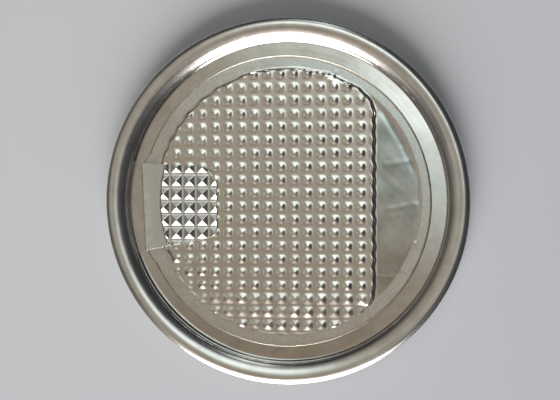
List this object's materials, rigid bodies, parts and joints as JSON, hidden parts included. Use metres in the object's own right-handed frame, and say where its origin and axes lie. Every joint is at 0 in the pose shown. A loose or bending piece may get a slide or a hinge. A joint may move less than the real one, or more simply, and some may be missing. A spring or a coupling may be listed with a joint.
{
  "type": "peel-off foil can end",
  "caption": "Round metal ring with a deep recess, a rolled outer curl and an embossed foil disc with a folded pull tab sealed over its opening.",
  "frame": {"origin": "on the ring's axis, level with the underside of its inner hem", "axes": "+Z along the axis towards the peeling side, -X towards the fold of the tab"},
  "size_m": [0.1086, 0.1086, 0.0067],
  "materials": {
    "ring": "bright stamped tinplate with fine turning lines",
    "foil": "bright rolled foil, embossed",
    "compound": "matte cured lining"
  },
  "bodies": {
    "root": {"end_ring": "ring", "peel_foil": "foil", "sealing_compound": "compound"}
  },
  "joints": []
}
